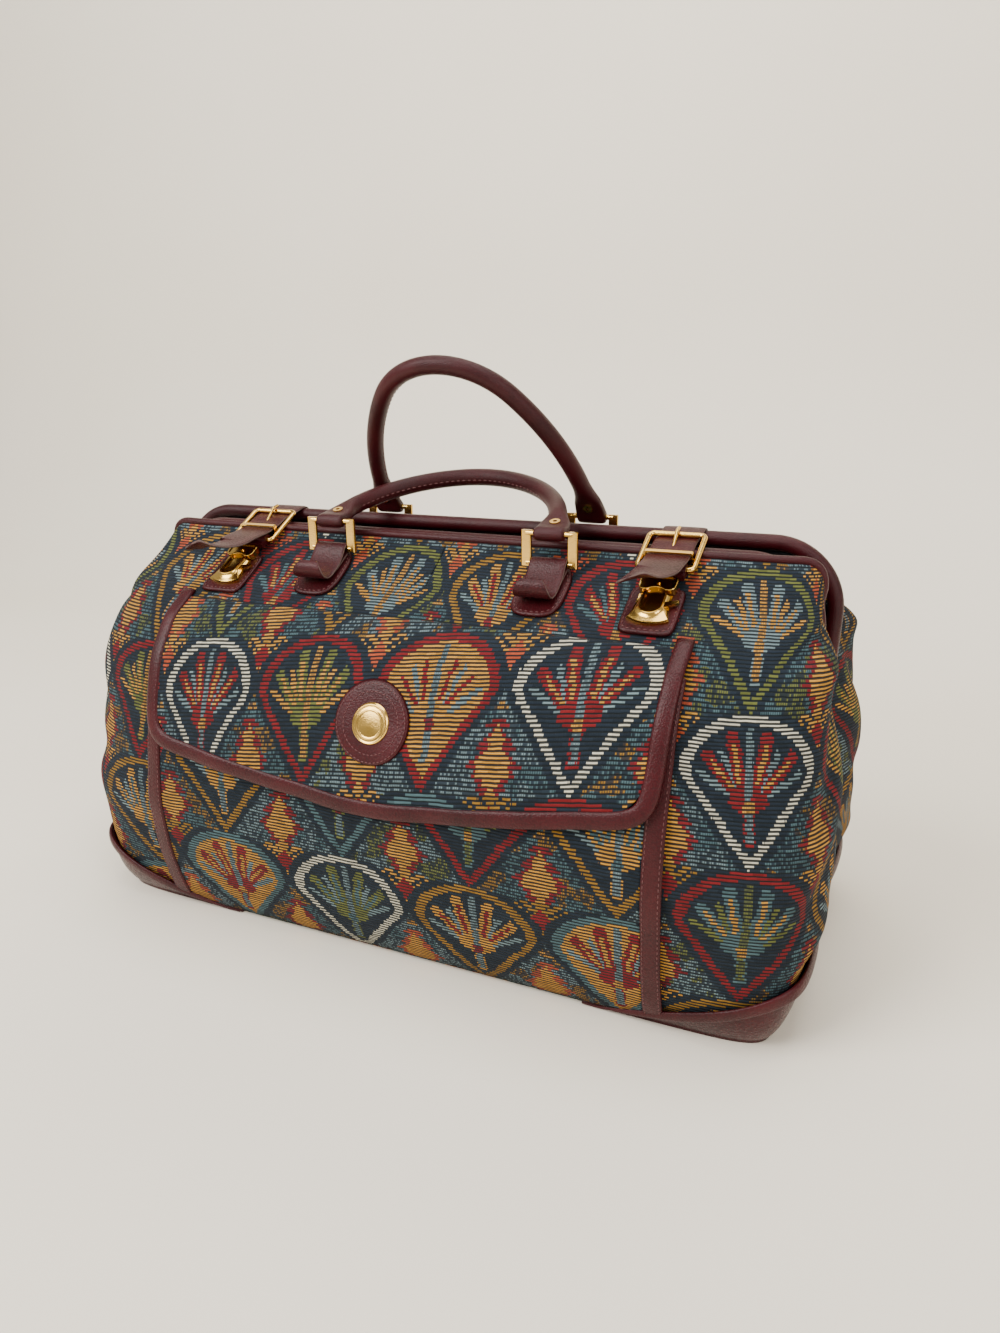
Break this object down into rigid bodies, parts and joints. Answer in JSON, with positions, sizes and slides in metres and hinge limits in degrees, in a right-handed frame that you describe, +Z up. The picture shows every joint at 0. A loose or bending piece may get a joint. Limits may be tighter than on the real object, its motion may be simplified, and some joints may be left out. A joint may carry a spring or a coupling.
{
  "type": "carpet bag",
  "caption": "Soft tapestry travel bag with a hinged leather-sleeved mouth frame, buckled lock straps, rolled handles, a front flap pocket and leather corner boots.",
  "frame": {"origin": "on the floor under the middle of the base, below the frame hinge line", "axes": "+X along the bag to the right as seen from the pocket side, -Y the pocket side, +Z up"},
  "size_m": [0.57, 0.2873, 0.4111],
  "materials": {
    "tapestry": "ribbed jacquard tapestry in navy, red, gold, green and cream",
    "leather": "pebbled oxblood leather",
    "brass": "polished brass",
    "frame_steel": "plain steel rod",
    "board": "fibre board"
  },
  "bodies": {
    "bag": {"front_panel": "tapestry", "back_panel": "tapestry", "base_board": "board", "boot_left": "leather", "boot_right": "leather", "front_frame_bar": "frame_steel", "front_frame_sleeve": "leather", "hinge_rivet_left": "brass", "hinge_rivet_right": "brass", "pocket_panel": "tapestry", "pocket_strip_left": "leather", "pocket_strip_right": "leather", "pocket_flap": "tapestry", "flap_binding": "leather", "badge_patch": "leather", "badge": "brass", "lock_patch_left": "leather", "lock_patch_right": "leather", "lock_plate_left": "brass", "lock_plate_right": "brass", "front_chape_left": "leather", "front_chape_right": "leather", "front_chape_patch_left": "leather", "front_chape_patch_right": "leather"},
    "back_frame": {"back_frame_bar": "frame_steel", "back_frame_sleeve": "leather", "back_chape_left": "leather", "back_chape_right": "leather", "back_chape_patch_left": "leather", "back_chape_patch_right": "leather", "strap_anchor_left": "leather", "strap_anchor_right": "leather"},
    "strap_left": {"strap_left": "leather", "buckle_left": "brass", "prong_left": "brass", "keeper_left": "brass", "billet_left": "leather", "hasp_left": "brass"},
    "strap_right": {"strap_right": "leather", "buckle_right": "brass", "prong_right": "brass", "keeper_right": "brass", "billet_right": "leather", "hasp_right": "brass"},
    "lock_slide_left": {"lock_slide_left": "brass"},
    "lock_slide_right": {"lock_slide_right": "brass"},
    "front_rings": {"front_ring_left": "brass", "front_ring_right": "brass"},
    "front_handle": {"front_handle": "leather", "front_handle_eyelets": "brass"},
    "back_rings": {"back_ring_left": "brass", "back_ring_right": "brass"},
    "back_handle": {"back_handle": "leather", "back_handle_eyelets": "brass"}
  },
  "joints": [
    {"name": "mouth_hinge", "type": "hinge", "parent": "bag", "child": "back_frame", "pos_m": [0, 0, 0.1595], "axis": [-1, 0, 0], "range_deg": [0, 60], "deforming": ["back_panel"]},
    {"name": "strap_left_lift", "type": "hinge", "parent": "back_frame", "child": "strap_left", "pos_m": [-0.163, 0.013, 0.2985], "axis": [-1, 0, 0], "range_deg": [0, 150]},
    {"name": "strap_right_lift", "type": "hinge", "parent": "back_frame", "child": "strap_right", "pos_m": [0.163, 0.013, 0.2985], "axis": [-1, 0, 0], "range_deg": [0, 150]},
    {"name": "lock_left_slide", "type": "slide", "parent": "bag", "child": "lock_slide_left", "axis": [0, -0.8671, -0.4981], "range_m": [0, 0.003], "stiffness_N_per_m": 200, "springref_m": -0.002},
    {"name": "lock_right_slide", "type": "slide", "parent": "bag", "child": "lock_slide_right", "axis": [0, -0.8671, -0.4981], "range_m": [0, 0.003], "stiffness_N_per_m": 200, "springref_m": -0.002},
    {"name": "front_ring_swing", "type": "hinge", "parent": "bag", "child": "front_rings", "pos_m": [0, -0.04232, 0.2771], "axis": [1, 0, 0], "range_deg": [0, 30]},
    {"name": "front_handle_swing", "type": "hinge", "parent": "front_rings", "child": "front_handle", "pos_m": [0, -0.04232, 0.2971], "axis": [1, 0, 0], "range_deg": [0, 160]},
    {"name": "back_ring_swing", "type": "hinge", "parent": "back_frame", "child": "back_rings", "pos_m": [0, 0.04232, 0.2771], "axis": [-1, 0, 0], "range_deg": [0, 20]},
    {"name": "back_handle_swing", "type": "hinge", "parent": "back_rings", "child": "back_handle", "pos_m": [0, 0.04232, 0.2971], "axis": [-1, 0, 0], "range_deg": [0, 110]}
  ],
  "couplings": [
    {"joint": "strap_left_lift", "follows": "mouth_hinge", "ratio": 2.4},
    {"joint": "strap_right_lift", "follows": "mouth_hinge", "ratio": 2.4}
  ]
}
